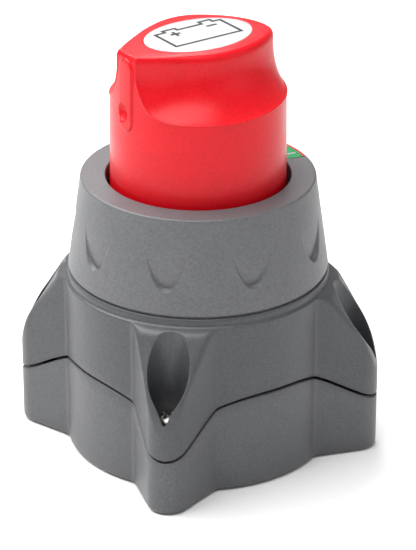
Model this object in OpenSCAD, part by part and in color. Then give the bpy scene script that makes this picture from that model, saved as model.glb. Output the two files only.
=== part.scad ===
// Battery isolating switch: a lobed housing with a wavy joint line, a fluted collar and a
// quarter-turn knob. Millimetres. Z is up along the knob's axis, Z = 0 is the underside.
// Azimuths are counted from -Y towards +X, and the four screw lobes are on the diagonals.

/* [Housing] */
// Radius of the round body between the lobes
body_r = 47.3; // [40:0.1:60]
// Radius to the tip of each lobe
lobe_tip_r = 65; // [55:0.5:75]
// Radius of each lobe's rounded nose
lobe_nose_r = 7.6; // [5:0.1:10]
// Half angle between a lobe's two flanks
lobe_half_angle = 27; // [15:1:40]
// Height of the joint line at the middle of each side
joint_z_side = 35.5; // [25:0.5:45]
// Height of the joint line at the lobe tips
joint_z_tip = 20.3; // [12:0.5:30]
// Open shadow gap along the joint line
joint_gap = 1.0; // [0.3:0.1:2]
// Bore of the base above its floor
base_bore_r = 38.5; // [30:0.5:40]
// Outside radius of the base's inner wall
base_spigot_r = 43.6; // [40:0.1:46]
// Top of the base's inner wall
base_spigot_z = 40; // [36:0.5:46]
// Underside of the floor that carries the contacts
floor_z = 20; // [14:0.5:26]
// Thickness of that floor
floor_t = 5; // [3:0.5:8]
// Radius of the wiring space under the floor
wiring_r = 40; // [34:0.5:42]

/* [Cover] */
// Slope of the cover's shoulder, from level
shoulder_slope = 58; // [40:1:75]
// Radius of the round that turns the shoulder down the lobes
shoulder_round_r = 44.4; // [20:0.1:70]
// Top of the neck band under the collar
neck_top_z = 66.8; // [60:0.1:75]
// Radius of the neck band
neck_r = 46.2; // [40:0.1:50]
// Underside of the cover's top plate
plate_z = 60; // [52:0.5:64]
// Seat of the screw heads in the lobe pockets
pocket_z = 31.5; // [26:0.5:40]
// Widest radius of the teardrop pocket
pocket_r = 7.2; // [5:0.1:9]
// Distance of the cover screws from the axis
screw_pos_r = 55.15; // [50:0.05:60]

/* [Collar] */
// Radius at the collar's lower edge
collar_r0 = 46.05; // [40:0.05:50]
// Radius at the collar's upper edge
collar_r1 = 41.3; // [36:0.05:46]
// Height of the collar's lower edge
collar_z0 = 67.8; // [64:0.1:72]
// Height of the collar's upper face
collar_z1 = 101.7; // [90:0.1:110]
// Bore around the knob
collar_bore_r = 32.5; // [30:0.1:36]
// Number of shallow flutes around the collar
flute_count = 9; // [4:1:16]
// Width of one flute
flute_w = 14.6; // [8:0.1:20]
// Azimuth of the first flute
flute_start = 1; // [0:1:40]

/* [Knob] */
// Radius of the knob at its lower edge
knob_r0 = 31.2; // [28:0.1:34]
// Radius of the knob at its top
knob_r1 = 30.4; // [26:0.1:34]
// Lower edge of the knob, inside the collar
knob_z0 = 74; // [72:0.5:90]
// Top face of the knob
knob_z1 = 152.9; // [140:0.1:170]
// Floor of the two finger scoops
scoop_z = 131.4; // [120:0.1:145]
// Half width of the grip bar at the middle
grip_half_w = 20.5; // [14:0.1:26]
// Plan radius of the grip bar's sides
grip_side_r = 39; // [25:0.5:80]
// How far the grip's side spreads at its foot
scoop_foot = 7.5; // [2:0.1:10]
// Height over which the grip's side spreads
scoop_rise = 17; // [8:0.5:20]
// Half length of the oval label
label_a = 20.4; // [12:0.1:24]
// Half width of the oval label
label_b = 14.15; // [8:0.1:18]
// Width of the pointer rib
rib_w = 5.8; // [3:0.1:8]

/* [Mechanism] */
// Radius of the spindle
spindle_r = 7; // [5:0.5:10]
// Side of the spindle's square ends
spindle_sq = 10; // [6:0.5:12]
// Running clearance of the spindle in its bush
spindle_gap = 0.05; // [0.01:0.01:0.1]
// Radius of the rotor
rotor_r = 22; // [18:0.5:26]
// Radius of the terminal studs
stud_r = 5; // [4:0.5:6]
// Distance of the terminal studs from the axis
stud_x = 24; // [18:0.5:28]
// Turning travel of the knob
turn_angle = 90; // [45:1:90]

/* [Hidden] */
$fn = 72;
lobe_count = 4;
nose_c = lobe_tip_r - lobe_nose_r;
round_c_r = lobe_tip_r + 0.3 - shoulder_round_r;
round_c_z = 25.4;
shoulder_r = round_c_r + shoulder_round_r * sin(shoulder_slope);
shoulder_z = round_c_z + shoulder_round_r * cos(shoulder_slope);
top_floor_z = floor_z + floor_t;
contact_t = 5;
contact_top_z = top_floor_z + contact_t;
bridge_z = contact_top_z + 0.05;
bridge_t = 4;
rotor_z0 = 31;
rotor_z1 = 52;
rotor_roof_z = 42;
ball_r = 2.5;
ball_z = 46.9;
ring_bore_r = 23.5;
bush_r = 10;
bush_z0 = 57.5;
bush_flange_z = 2;
collar_floor_z = 71;
hub_z0 = 92.2;
knob_hollow_z = 126;
spindle_top_z = 118;
eps = 0.01;

module at_lobes() {
  for (k = [0 : lobe_count - 1]) rotate(45 + 90 * k) children();
}

// The lobe in plan, along +X: flanks tangent to a rounded nose.
module lobe_2d() {
  a = 90 - lobe_half_angle;
  reach = 20;
  tx = nose_c + lobe_nose_r * cos(a);
  ty = lobe_nose_r * sin(a);
  bx = tx - reach * cos(lobe_half_angle);
  by = ty + reach * sin(lobe_half_angle);
  steps = 12;
  nose = [for (i = [0 : steps]) let (t = a - 2 * a * i / steps)
    [nose_c + lobe_nose_r * cos(t), lobe_nose_r * sin(t)]];
  polygon(concat([[30, -by], [30, by], [bx, by]], nose, [[bx, -by]]));
}

module outline(h) {
  cylinder(r = body_r, h = h);
  at_lobes() linear_extrude(height = h) lobe_2d();
}

// Height of the joint line at a distance across one side.
function joint_z(x) = let (u = min(1, abs(x) / 47))
  joint_z_side - (joint_z_side - joint_z_tip) * pow(sin(90 * pow(u, 1.45)), 2);

module wave_2d(lift) {
  n = 9;
  step = 50 / n;
  top = [for (i = [-n : n]) [i * step, joint_z(i * step) + lift]];
  polygon(concat([[-50, -2]], top, [[50, -2]]));
}

// Everything below the joint line, lifted by the gap for the cover.
module below_joint(lift) {
  for (k = [0, 1]) rotate(90 * k) translate([0, 60, 0]) rotate([90, 0, 0])
    linear_extrude(height = 120) wave_2d(lift);
}

// The cover's outer profile, turned about the axis.
module shoulder_2d() {
  square([round_c_r + shoulder_round_r, round_c_z]);
  intersection() {
    translate([round_c_r, round_c_z]) circle(r = shoulder_round_r, $fn = 144);
    translate([0, round_c_z - eps]) square([80, shoulder_z - round_c_z + eps]);
  }
  r1 = 49;
  z1 = shoulder_z + (shoulder_r - r1) * tan(shoulder_slope);
  polygon([[0, shoulder_z - eps], [shoulder_r, shoulder_z - eps], [shoulder_r, shoulder_z],
    [r1, z1], [r1 - 1.2, z1 + 0.9], [neck_r, z1 + 1.1], [neck_r, neck_top_z],
    [0, neck_top_z]]);
}

module teardrop_2d() {
  hull() {
    translate([55.9, 0]) circle(r = pocket_r, $fn = 32);
    translate([63.2, 0]) circle(r = 1, $fn = 16);
  }
}

module base() {
  color([0.33, 0.34, 0.36]) difference() {
    union() {
      intersection() {
        outline(40);
        below_joint(0);
      }
      cylinder(r = base_spigot_r, h = base_spigot_z);
    }
    translate([0, 0, -1]) cylinder(r = wiring_r, h = floor_z + 1);
    translate([0, 0, top_floor_z]) difference() {
      cylinder(r = base_bore_r, h = 20);
      // Two stops for the rotor's lug.
      for (a = [34.6, 145.4]) rotate(a - 90) translate([33.5, -3, -1]) cube([8, 6, 15]);
    }
    // Seal groove.
    translate([0, 0, 36.4]) difference() {
      cylinder(r = base_spigot_r + 1, h = 2.2);
      translate([0, 0, -1]) cylinder(r = 41.85, h = 4.2);
    }
    // Stud holes, and the blind and threaded holes of the lobes.
    for (s = [-1, 1]) translate([s * stud_x, 0, floor_z - 1])
      cylinder(r = stud_r + 0.2, h = floor_t + 2);
    at_lobes() translate([screw_pos_r, 0, 0]) {
      translate([0, 0, 10.5]) cylinder(r = 2.45, h = 40);
      translate([0, 0, -1]) cylinder(r = 2.1, h = 9);
    }
  }
}

module cover() {
  color([0.38, 0.39, 0.41]) difference() {
    intersection() {
      outline(80);
      rotate_extrude() shoulder_2d();
    }
    below_joint(joint_gap);
    translate([0, 0, 10]) cylinder(r = base_spigot_r + 0.4, h = base_spigot_z - 10);
    translate([0, 0, base_spigot_z - eps]) difference() {
      cylinder(r = 41, h = plate_z - base_spigot_z + eps);
      // Boss under the top plate for the bush.
      translate([0, 0, bush_z0 - base_spigot_z + eps]) cylinder(r = 14, h = 5);
    }
    translate([0, 0, 40]) cylinder(r = bush_r + 0.02, h = 40);
    for (k = [0 : 2]) rotate(120 * k + 30) translate([26, 0, 61.5])
      cylinder(r = 1.55, h = 10);
    at_lobes() {
      translate([0, 0, pocket_z]) linear_extrude(height = 50) teardrop_2d();
      translate([screw_pos_r, 0, 15]) cylinder(r = 2.75, h = 20);
    }
  }
}

module cover_seal() {
  color([0.08, 0.08, 0.08]) translate([0, 0, 37.5]) rotate_extrude()
    translate([42.9, 0]) circle(r = 0.98, $fn = 24);
}

module cover_screws() {
  color([0.72, 0.72, 0.7]) at_lobes() translate([screw_pos_r, 0, 0]) difference() {
    union() {
      translate([0, 0, 11.5]) cylinder(r = 2.4, h = pocket_z - 11.5 + 1);
      translate([0, 0, pocket_z]) cylinder(r = 4.75, h = 2.6);
      translate([0, 0, pocket_z + 2.6]) cylinder(r1 = 4.75, r2 = 3.4, h = 1.1);
    }
    for (a = [20, 110]) rotate(a) translate([-3, -0.6, pocket_z + 1.9]) cube([6, 1.2, 4]);
  }
}

module collar() {
  color([0.4, 0.41, 0.43]) difference() {
    rotate_extrude() difference() {
      polygon([[13, neck_top_z], [collar_r0 - 0.6, neck_top_z], [collar_r0 - 0.6, collar_z0],
        [collar_r0, collar_z0], [collar_r1 + 0.14, collar_z1 - 1], [collar_r1 - 0.8, collar_z1],
        [collar_bore_r + 0.6, collar_z1], [collar_bore_r, collar_z1 - 0.6],
        [collar_bore_r, collar_floor_z], [13, collar_floor_z]]);
      polygon([[35, neck_top_z - 1], [42.6, neck_top_z - 1], [38.8, collar_z1 - 3.5],
        [35, collar_z1 - 3.5]]);
    }
    // Flutes: U-shaped scoops with an upright floor that runs out upwards.
    for (k = [0 : flute_count - 1]) rotate(flute_start + k * 360 / flute_count)
      translate([0, -43.3, 76 + flute_w / 2]) rotate([90, 0, 0]) {
        cylinder(r = flute_w / 2, h = 10);
        translate([-flute_w / 2, 0, 0]) cube([flute_w, 30, 10]);
      }
    for (k = [0 : 2]) rotate(120 * k + 30) translate([26, 0, 60])
      cylinder(r = 1.8, h = 20);
  }
}

module sector_label(a0, a1) {
  rotate(a0 - 90) rotate_extrude(angle = a1 - a0)
    translate([33.7, collar_z1]) square([6.4, 0.3]);
}

module on_label() {
  color([0.1, 0.6, 0.25]) sector_label(166, 206);
}

module off_label() {
  color([0.8, 0.08, 0.1]) sector_label(244, 284);
}

// The wall of one finger scoop, turned about the centre of the grip's side.
module scoop_wall() {
  n = 12;
  wall = [for (i = [0 : n]) let (t = 90 * i / n)
    [grip_side_r + scoop_foot * (1 - sin(t)), scoop_z + scoop_rise * (1 - cos(t))]];
  rotate_extrude() polygon(concat([[0, scoop_z - 1], [grip_side_r + scoop_foot, scoop_z - 1]],
    wall, [[grip_side_r, knob_z1 - 2.2], [grip_side_r - 0.7, knob_z1 - 0.7],
    [grip_side_r - 2.2, knob_z1], [0, knob_z1]]));
}

module knob() {
  off = grip_side_r - grip_half_w;
  color([0.8, 0.1, 0.14]) difference() {
    union() {
      difference() {
        translate([0, 0, knob_z0]) cylinder(r1 = knob_r0, r2 = knob_r1, h = knob_z1 - knob_z0);
        translate([0, 0, scoop_z]) difference() {
          translate([-40, -40, 0]) cube([80, 80, 40]);
          translate([0, 0, -scoop_z]) intersection() {
            translate([-off, 0, 0]) scoop_wall();
            translate([off, 0, 0]) scoop_wall();
          }
        }
      }
      // Pointer rib on the grip's end.
      intersection() {
        translate([0, 0, 100]) cylinder(r = knob_r1 + 0.55, h = knob_z1 - 101.2);
        translate([0, -20, 0]) rotate([90, 0, 0]) {
          translate([-rib_w / 2, 130, 0]) cube([rib_w, 18.6, 20]);
          translate([0, 148.6, 0]) cylinder(r = rib_w / 2, h = 20);
          translate([0, 130, 0]) cylinder(r = rib_w / 2, h = 20);
        }
      }
    }
    // Dimple under the rib.
    translate([0, -knob_r1 - 6.6, 130.6]) sphere(r = 7.9);
    // Seat of the label.
    translate([0, 0, knob_z1 - 0.5]) linear_extrude(height = 2) label_2d(0.15);
    // Hollow skirt and the spindle's socket.
    difference() {
      translate([0, 0, knob_z0 - 1]) cylinder(r = 28, h = knob_hollow_z - knob_z0 + 1);
      translate([0, 0, hub_z0]) cylinder(r = 11, h = 60);
      for (a = [0, 90]) rotate(a) translate([-29, -1.5, 96]) cube([58, 3, 40]);
    }
    translate([-5.05, -5.05, hub_z0 - 1]) cube([10.1, 10.1, spindle_top_z + 1 - hub_z0]);
    translate([0, 0, hub_z0]) cylinder(r = 2.8, h = 60);
    translate([0, 0, 143]) cylinder(r = 5, h = 20);
  }
}

module label_2d(grow) {
  n = 64;
  polygon([for (i = [0 : n - 1]) let (t = 360 * i / n)
    [(label_b + grow) * cos(t), (label_a + grow) * sin(t)]]);
}

module knob_label() {
  color([0.96, 0.96, 0.97]) translate([0, 0, knob_z1 - 0.5])
    linear_extrude(height = 0.7) label_2d(0);
}

module knob_screw() {
  color([0.7, 0.7, 0.72]) difference() {
    union() {
      translate([0, 0, 100]) cylinder(r = 2.5, h = 43.5);
      translate([0, 0, 143]) cylinder(r = 4.5, h = 4.5);
    }
    translate([0, 0, 145]) cylinder(r = 2.6, h = 4, $fn = 6);
  }
}

module spindle() {
  color([0.75, 0.76, 0.78]) difference() {
    union() {
      translate([-spindle_sq / 2, -spindle_sq / 2, 44]) cube([spindle_sq, spindle_sq, 11]);
      translate([0, 0, 54]) cylinder(r = spindle_r, h = 38);
      translate([-spindle_sq / 2, -spindle_sq / 2, 91])
        cube([spindle_sq, spindle_sq, spindle_top_z - 91]);
    }
    // Circlip groove and the tapped hole.
    translate([0, 0, 55.95]) difference() {
      cylinder(r = 9, h = 1.3);
      translate([0, 0, -1]) cylinder(r = 6.2, h = 4);
    }
    translate([0, 0, 98]) cylinder(r = 2.55, h = 30);
  }
}

module circlip() {
  color([0.3, 0.3, 0.32]) translate([0, 0, 56]) difference() {
    cylinder(r = 9.5, h = 1.2);
    translate([0, 0, -1]) cylinder(r = 6.25, h = 4);
    translate([-1.5, 0, -1]) cube([3, 20, 4]);
  }
}

module bush() {
  color([0.85, 0.8, 0.68]) difference() {
    union() {
      translate([0, 0, bush_z0]) cylinder(r = bush_r, h = neck_top_z + 1 - bush_z0);
      translate([0, 0, neck_top_z]) cylinder(r = 12.5, h = bush_flange_z);
    }
    translate([0, 0, 50]) cylinder(r = spindle_r + spindle_gap, h = 40);
    translate([0, 0, 66]) cylinder(r = 9.2, h = 10);
  }
}

module shaft_seal() {
  color([0.07, 0.07, 0.07]) translate([0, 0, 67.05]) rotate_extrude()
    translate([8.11, 0]) circle(r = 1.05, $fn = 24);
}

module rotor() {
  color([0.18, 0.18, 0.2]) difference() {
    union() {
      translate([0, 0, rotor_z0]) cylinder(r = rotor_r, h = rotor_z1 - rotor_z0);
      // Stop lug, on the azimuth midway between pointer and contact.
      rotate(-45) intersection() {
        translate([18, -6, 35]) cube([20, 12, 4]);
        translate([0, 0, 30]) cylinder(r = 36.5, h = 12);
        rotate(-5) translate([0, 0, 30]) cube([40, 40, 12]);
        rotate(5) mirror([0, 1, 0]) translate([0, 0, 30]) cube([40, 40, 12]);
      }
    }
    // Slot for the contact bridge.
    translate([-30, -8.2, rotor_z0 - 1]) cube([60, 16.4, rotor_roof_z - rotor_z0 + 1]);
    translate([-5.05, -5.05, 43.9]) cube([10.1, 10.1, 20]);
    for (s = [-1, 1]) rotate([0, s * 90, 0]) translate([-s * ball_z, 0, 8])
      cylinder(r = ball_r + 0.06, h = 20);
  }
}

module contact_bridge() {
  color([0.8, 0.45, 0.28]) translate([0, 0, bridge_z]) difference() {
    translate([-31, -8, 0]) cube([62, 16, bridge_t]);
    for (s = [-1, 1]) translate([s * 35, 0, bridge_t]) rotate([0, s * 45, 0])
      translate([-2, -10, -3]) cube([4, 20, 6]);
  }
}

module coil(r, wire_r, h, turns) {
  linear_extrude(height = h - 0.02, twist = -360 * turns, slices = 16 * turns, $fn = 8)
    translate([r, 0]) circle(r = wire_r);
}

module contact_springs() {
  color([0.75, 0.75, 0.77]) for (s = [-1, 1])
    translate([s * 12, 0, bridge_z + bridge_t + 0.01])
      coil(4, 0.75, rotor_roof_z - bridge_z - bridge_t, 4);
}

module detent_balls() {
  color([0.8, 0.8, 0.82]) for (s = [-1, 1])
    translate([s * (ring_bore_r - ball_r - 0.06), 0, ball_z]) sphere(r = ball_r);
}

module detent_springs() {
  color([0.75, 0.75, 0.77]) for (s = [-1, 1]) rotate([0, s * 90, 0])
    translate([-s * ball_z, 0, 8.02])
      coil(1.7, 0.5, ring_bore_r - 2 * ball_r - 8.1, 5);
}

module detent_ring() {
  color([0.62, 0.6, 0.55]) difference() {
    translate([0, 0, base_spigot_z]) cylinder(r = 40.9, h = 12);
    translate([0, 0, base_spigot_z - 1]) cylinder(r = ring_bore_r, h = 14);
    for (k = [0 : 3]) rotate(90 * k) translate([ring_bore_r - ball_r + 0.7, 0, ball_z])
      sphere(r = ball_r + 0.05);
  }
}

module contact_plate(s) {
  translate([0, 0, top_floor_z]) difference() {
    union() {
      translate([s > 0 ? 12 : -31, -7, 0]) cube([19, 14, contact_t]);
      translate([s * 31, 0, 0]) cylinder(r = 7, h = contact_t);
    }
    translate([s * stud_x, 0, -1]) cylinder(r = stud_r + 0.05, h = contact_t + 2);
  }
}

module contact_left() {
  color([0.8, 0.45, 0.28]) contact_plate(-1);
}

module contact_right() {
  color([0.8, 0.45, 0.28]) contact_plate(1);
}

module terminal_studs() {
  color([0.8, 0.7, 0.4]) for (s = [-1, 1]) translate([s * stud_x, 0, 0]) {
    translate([0, 0, 2.8]) cylinder(r = stud_r, h = contact_top_z - 2.9);
    translate([0, 0, 2]) cylinder(r1 = stud_r - 0.8, r2 = stud_r, h = 0.8);
  }
}

module stud_washers() {
  color([0.72, 0.72, 0.7]) for (s = [-1, 1]) translate([s * stud_x, 0, floor_z - 1.8])
    difference() {
      cylinder(r = 9.5, h = 1.8);
      translate([0, 0, -1]) cylinder(r = stud_r + 0.3, h = 4);
    }
}

module lock_washers() {
  color([0.6, 0.6, 0.62]) for (s = [-1, 1]) translate([s * stud_x, 0, floor_z - 3.8])
    difference() {
      cylinder(r = 8.2, h = 2);
      translate([0, 0, -1]) cylinder(r = stud_r + 0.2, h = 4);
      rotate(90 * s + 180) translate([0, -0.6, -1]) cube([12, 1.2, 4]);
    }
}

module stud_nuts() {
  color([0.78, 0.68, 0.4]) for (s = [-1, 1]) translate([s * stud_x, 0, floor_z - 11.8])
    difference() {
      cylinder(r = 9.2, h = 8, $fn = 6);
      translate([0, 0, -1]) cylinder(r = stud_r + 0.05, h = 10);
    }
}

module collar_screws() {
  color([0.6, 0.6, 0.62]) for (k = [0 : 2]) rotate(120 * k + 30) translate([26, 0, 0])
    difference() {
      union() {
        translate([0, 0, 62]) cylinder(r = 1.5, h = collar_floor_z - 61.5);
        translate([0, 0, collar_floor_z]) cylinder(r = 3, h = 1.8);
      }
      for (a = [0, 90]) rotate(a)
        translate([-1.8, -0.4, collar_floor_z + 0.9]) cube([3.6, 0.8, 3]);
    }
}

base();
cover();
cover_seal();
cover_screws();
collar();
collar_screws();
on_label();
off_label();
knob();
knob_label();
knob_screw();
spindle();
circlip();
bush();
shaft_seal();
rotor();
contact_bridge();
contact_springs();
detent_balls();
detent_springs();
detent_ring();
contact_left();
contact_right();
terminal_studs();
stud_washers();
lock_washers();
stud_nuts();
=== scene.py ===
"""Battery isolating switch: the detailed visible pieces, their finishes and the stage.

Shapes are worked out in millimetres in the part's own frame: Z is up along the knob's axis and
Z = 0 is the underside. Azimuths are counted in degrees from -Y towards +X.
"""

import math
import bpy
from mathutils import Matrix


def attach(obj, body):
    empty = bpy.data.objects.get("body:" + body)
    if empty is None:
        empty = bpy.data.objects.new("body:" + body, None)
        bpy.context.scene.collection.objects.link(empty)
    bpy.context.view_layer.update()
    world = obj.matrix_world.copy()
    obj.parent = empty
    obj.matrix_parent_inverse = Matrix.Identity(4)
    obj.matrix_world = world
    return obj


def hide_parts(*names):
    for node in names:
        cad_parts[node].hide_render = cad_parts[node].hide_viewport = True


bl_info = {
    "name": "Battery isolating switch",
    "version": (1, 0, 0),
    "blender": (4, 5, 0),
    "location": "3D View > Sidebar > Switch",
    "description": "Builds the visible pieces of a battery isolating switch round its packed frame",
    "category": "Object",
}

import bmesh
import bpy
import numpy as np
from bpy.props import (
    FloatProperty,
    FloatVectorProperty,
    IntProperty,
    PointerProperty,
)
from mathutils import Vector
from mathutils.geometry import delaunay_2d_cdt

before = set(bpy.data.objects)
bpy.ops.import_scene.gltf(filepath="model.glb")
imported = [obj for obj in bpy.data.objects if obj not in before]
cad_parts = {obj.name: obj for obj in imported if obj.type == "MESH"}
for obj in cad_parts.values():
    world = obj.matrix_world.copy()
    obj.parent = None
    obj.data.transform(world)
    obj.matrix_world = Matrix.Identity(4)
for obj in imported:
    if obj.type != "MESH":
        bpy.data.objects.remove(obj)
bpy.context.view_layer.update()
MM = 0.001
LOBES = 4


# ---------------------------------------------------------------- sizes and colours


def length(name, description, millimetres):
    """A length that a user may change, kept in metres."""
    return FloatProperty(
        name=name,
        description=description,
        default=millimetres * MM,
        min=0.0,
        precision=5,
        subtype="DISTANCE",
        unit="LENGTH",
    )


def colour(name, description, value):
    """A colour that a user may change, linear red, green and blue."""
    return FloatVectorProperty(
        name=name,
        description=description,
        default=value,
        min=0.0,
        max=1.0,
        size=3,
        subtype="COLOR",
    )


def number(name, description, value):
    """A plain number."""
    return FloatProperty(name=name, description=description, default=value)


def power(name, description, value):
    """The power of a lamp in watts."""
    return FloatProperty(name=name, description=description, default=value, unit="POWER")


def angle(name, description, value):
    """An angle, given in degrees and stored in radians."""
    return FloatProperty(
        name=name, description=description, default=math.radians(value), subtype="ANGLE",
        unit="ROTATION")


class HousingSizes(bpy.types.PropertyGroup):
    """Sizes of the lobed base and cover."""

    body_r: length("Body radius", "Radius of the round body between the lobes", 47.3)
    tip_r: length("Lobe tip radius", "Radius to the tip of each lobe", 64.98)
    nose_r: length("Nose radius", "Radius of each lobe's rounded nose", 7.6)
    valley_r: length("Valley radius", "Hollow round between lobe and body", 3.4)
    joint_side: length("Joint at the sides", "Joint line's height mid-side", 35.5)
    joint_tip: length("Joint at the tips", "Joint line's height at the lobes", 20.3)
    joint_gap: length("Joint gap", "Open shadow gap along the joint line", 1.0)
    foot_round: length("Foot round", "Round of the base's lower edge", 2.3)
    neck_r: length("Neck radius", "Radius of the band under the collar", 46.2)
    neck_top: length("Neck top", "Top of the band under the collar", 66.8)
    pocket_r: length("Pocket radius", "Widest radius of the screw pocket", 7.2)
    pocket_floor: length("Pocket floor", "Seat of the screw heads", 31.5)
    screw_at: length("Screw distance", "Distance of the screws from the axis", 55.15)


class CollarSizes(bpy.types.PropertyGroup):
    """Sizes of the fluted collar and its two ring labels."""

    foot_r: length("Lower radius", "Radius at the collar's lower edge", 46.05)
    top_r: length("Upper radius", "Radius at the collar's upper edge", 41.3)
    foot_z: length("Lower edge", "Height of the collar's lower edge", 67.8)
    top_z: length("Upper face", "Height of the collar's upper face", 101.7)
    bore_r: length("Bore radius", "Bore round the knob", 32.5)
    flute_w: length("Flute width", "Width of one flute", 14.6)
    flute_deep: length("Flute depth", "Depth of a flute at its lower end", 2.0)
    flute_tall: length("Flute height", "Height over which a flute fades out", 15.5)
    flute_bottom: length("Flute bottom", "Height of a flute's lower end", 76.0)
    flutes: IntProperty(
        name="Flutes", description="Number of flutes round the collar", default=9, min=1
    )
    label_in: length("Label inner radius", "Inner radius of a ring label", 33.7)
    label_out: length("Label outer radius", "Outer radius of a ring label", 40.5)


class KnobSizes(bpy.types.PropertyGroup):
    """Sizes of the knob, its grip and its label."""

    foot_r: length("Lower radius", "Radius at the knob's lower edge", 31.2)
    top_r: length("Upper radius", "Radius at the knob's top", 30.4)
    foot_z: length("Lower edge", "Lower edge, inside the collar", 74.0)
    top_z: length("Top face", "Height of the knob's top face", 152.9)
    scoop_z: length("Scoop floor", "Height of the scoops' floor", 131.4)
    scoop_rise: length("Scoop rise", "Height over which the grip spreads", 17.0)
    roll_r: length("Top round", "Height of the round of the grip's top edge", 3.0)
    rib_w: length("Rib width", "Width of the pointer rib", 7.3)
    rib_turn: angle("Rib turn", "Turn from the pointer side to the rib's middle", 2.2)
    rib_out: length("Rib relief", "How far the pointer rib stands out", 0.75)
    label_a: length("Label half length", "Half length of the oval label", 20.4)
    label_b: length("Label half width", "Half width of the oval label", 14.15)
    stroke: length("Line width", "Width of the pictogram's lines", 1.1)


class FinishColours(bpy.types.PropertyGroup):
    """Colours of the finishes."""

    base_grey: colour("Base grey", "Moulded plastic of the base", (0.084, 0.086, 0.091))
    cover_grey: colour("Cover grey", "Moulded plastic of the cover", (0.066, 0.068, 0.073))
    collar_grey: colour("Collar grey", "Moulded plastic of the collar", (0.116, 0.118, 0.124))
    knob_red: colour("Knob red", "Moulded plastic of the knob", (0.68, 0.003, 0.010))
    label_white: colour("Label white", "Film of the oval label", (0.50, 0.505, 0.52))
    print_dark: colour("Printing", "Ink of the pictogram", (0.004, 0.004, 0.007))
    mark_green: colour("Green mark", "Ring label at on", (0.004, 0.30, 0.085))
    mark_red: colour("Red mark", "Ring label at off", (0.60, 0.006, 0.02))
    zinc: colour("Zinc plate", "Plated steel screws and washers", (0.30, 0.295, 0.28))
    steel: colour("Steel", "Bare turned steel", (0.50, 0.51, 0.53))
    spring: colour("Spring steel", "Dark spring steel", (0.20, 0.20, 0.22))
    brass: colour("Brass", "Terminal studs and nuts", (0.60, 0.43, 0.16))
    copper: colour("Copper", "Contacts", (0.72, 0.32, 0.17))
    rubber: colour("Rubber", "Seals", (0.018, 0.018, 0.018))
    bush: colour("Bush plastic", "Pale bearing plastic", (0.62, 0.56, 0.42))
    rotor: colour("Rotor black", "Black moulded plastic", (0.03, 0.03, 0.034))
    ring: colour("Ring plastic", "Sand-coloured plastic", (0.34, 0.32, 0.27))


class StageSettings(bpy.types.PropertyGroup):
    """Floor, lights and camera."""

    floor_half: length("Floor half size", "Half the side of the floor", 6000.0)
    floor_colour: colour("Floor colour", "Pale floor", (0.88, 0.88, 0.88))
    sky: number("Sky strength", "Strength of the white surroundings", 0.38)
    key: power("Key power", "Power of the large key light", 4.0)
    fill: power("Fill power", "Power of the fill light", 1.2)
    rim: power("Rim power", "Power of the light from behind", 16.0)
    top: power("Top power", "Power of the wide light overhead", 33.0)
    camera_azimuth: angle("Camera azimuth", "Azimuth that the camera stands at", 55.46)
    camera_elevation: angle("Camera elevation", "Height of the camera above the horizon", 25.99)
    camera_distance: length("Camera distance", "Camera to the point it looks at", 1061.17)
    look_z: length("Look height", "Height of the point the camera looks at", 50.0)
    lens: number("Lens", "Focal length in millimetres", 129.575)
    shift_x: number("Shift X", "Sideways shift of the lens", 0.0178)
    shift_y: number("Shift Y", "Upward shift of the lens", 0.0547)


def mm(group, name):
    """A stored length in millimetres."""
    return getattr(group, name) / MM


# ---------------------------------------------------------------- mesh building


class Shape:
    """Collects vertices in millimetres and faces, and turns them into one clean mesh."""

    def __init__(self):
        self.blocks = []
        self.count = 0
        self.faces = []

    def points(self, xyz):
        """Adds an (n, 3) array of points and returns their numbers."""
        xyz = np.asarray(xyz, dtype=float)
        first = self.count
        self.blocks.append(xyz)
        self.count += len(xyz)
        return np.arange(first, self.count)

    def strip(self, a, b, closed=True):
        """Quads between two rows of equal length, a below or outside b."""
        a, b = np.asarray(a), np.asarray(b)
        if closed:
            a2, b2 = np.roll(a, -1), np.roll(b, -1)
        else:
            a, a2, b, b2 = a[:-1], a[1:], b[:-1], b[1:]
        self.faces.extend(np.stack([a, a2, b2, b], axis=1).tolist())

    def rows(self, rows, closed=True, ring=False):
        """Adds rows of points, joins each to the next and returns their numbers."""
        numbers = [self.points(r) for r in rows]
        for a, b in zip(numbers[:-1], numbers[1:]):
            self.strip(a, b, closed)
        if ring:
            self.strip(numbers[-1], numbers[0], closed)
        return numbers

    def cap(self, row, centre, up=True):
        """Closes a row with a fan round a centre point."""
        c = int(self.points([centre])[0])
        nxt = np.roll(row, -1)
        for a, b in zip(row.tolist(), nxt.tolist()):
            self.faces.append([a, b, c] if up else [b, a, c])

    def all_points(self):
        return np.concatenate(self.blocks)

    def build(self, name, material, merge=0.0005, smooth=True):
        """Makes the object, with coincident points merged and normals outward."""
        mesh = bpy.data.meshes.new(name)
        mesh.from_pydata((self.all_points() * MM).tolist(), [], self.faces)
        bm = bmesh.new()
        bm.from_mesh(mesh)
        if merge:
            bmesh.ops.remove_doubles(bm, verts=bm.verts, dist=merge * MM)
        loose = [v for v in bm.verts if not v.link_faces]
        if loose:
            bmesh.ops.delete(bm, geom=loose, context="VERTS")
        bmesh.ops.recalc_face_normals(bm, faces=bm.faces)
        bm.to_mesh(mesh)
        bm.free()
        if smooth:
            mesh.polygons.foreach_set("use_smooth", [True] * len(mesh.polygons))
        mesh.materials.append(material)
        thing = bpy.data.objects.new(name, mesh)
        bpy.context.scene.collection.objects.link(thing)
        return thing


def turned(azimuth, radius, height):
    """Points at azimuths in degrees, with radius and height in millimetres."""
    a = np.radians(azimuth)
    radius = np.broadcast_to(radius, a.shape)
    height = np.broadcast_to(height, a.shape)
    return np.stack([radius * np.sin(a), -radius * np.cos(a), height], axis=1)


def bezier(a, b, c, steps):
    """Points of a quadratic curve from a to c, without its first point."""
    t = np.linspace(0, 1, steps + 1)[1:, None, None]
    return list((1 - t) ** 2 * a + 2 * t * (1 - t) * b + t**2 * c)


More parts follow.
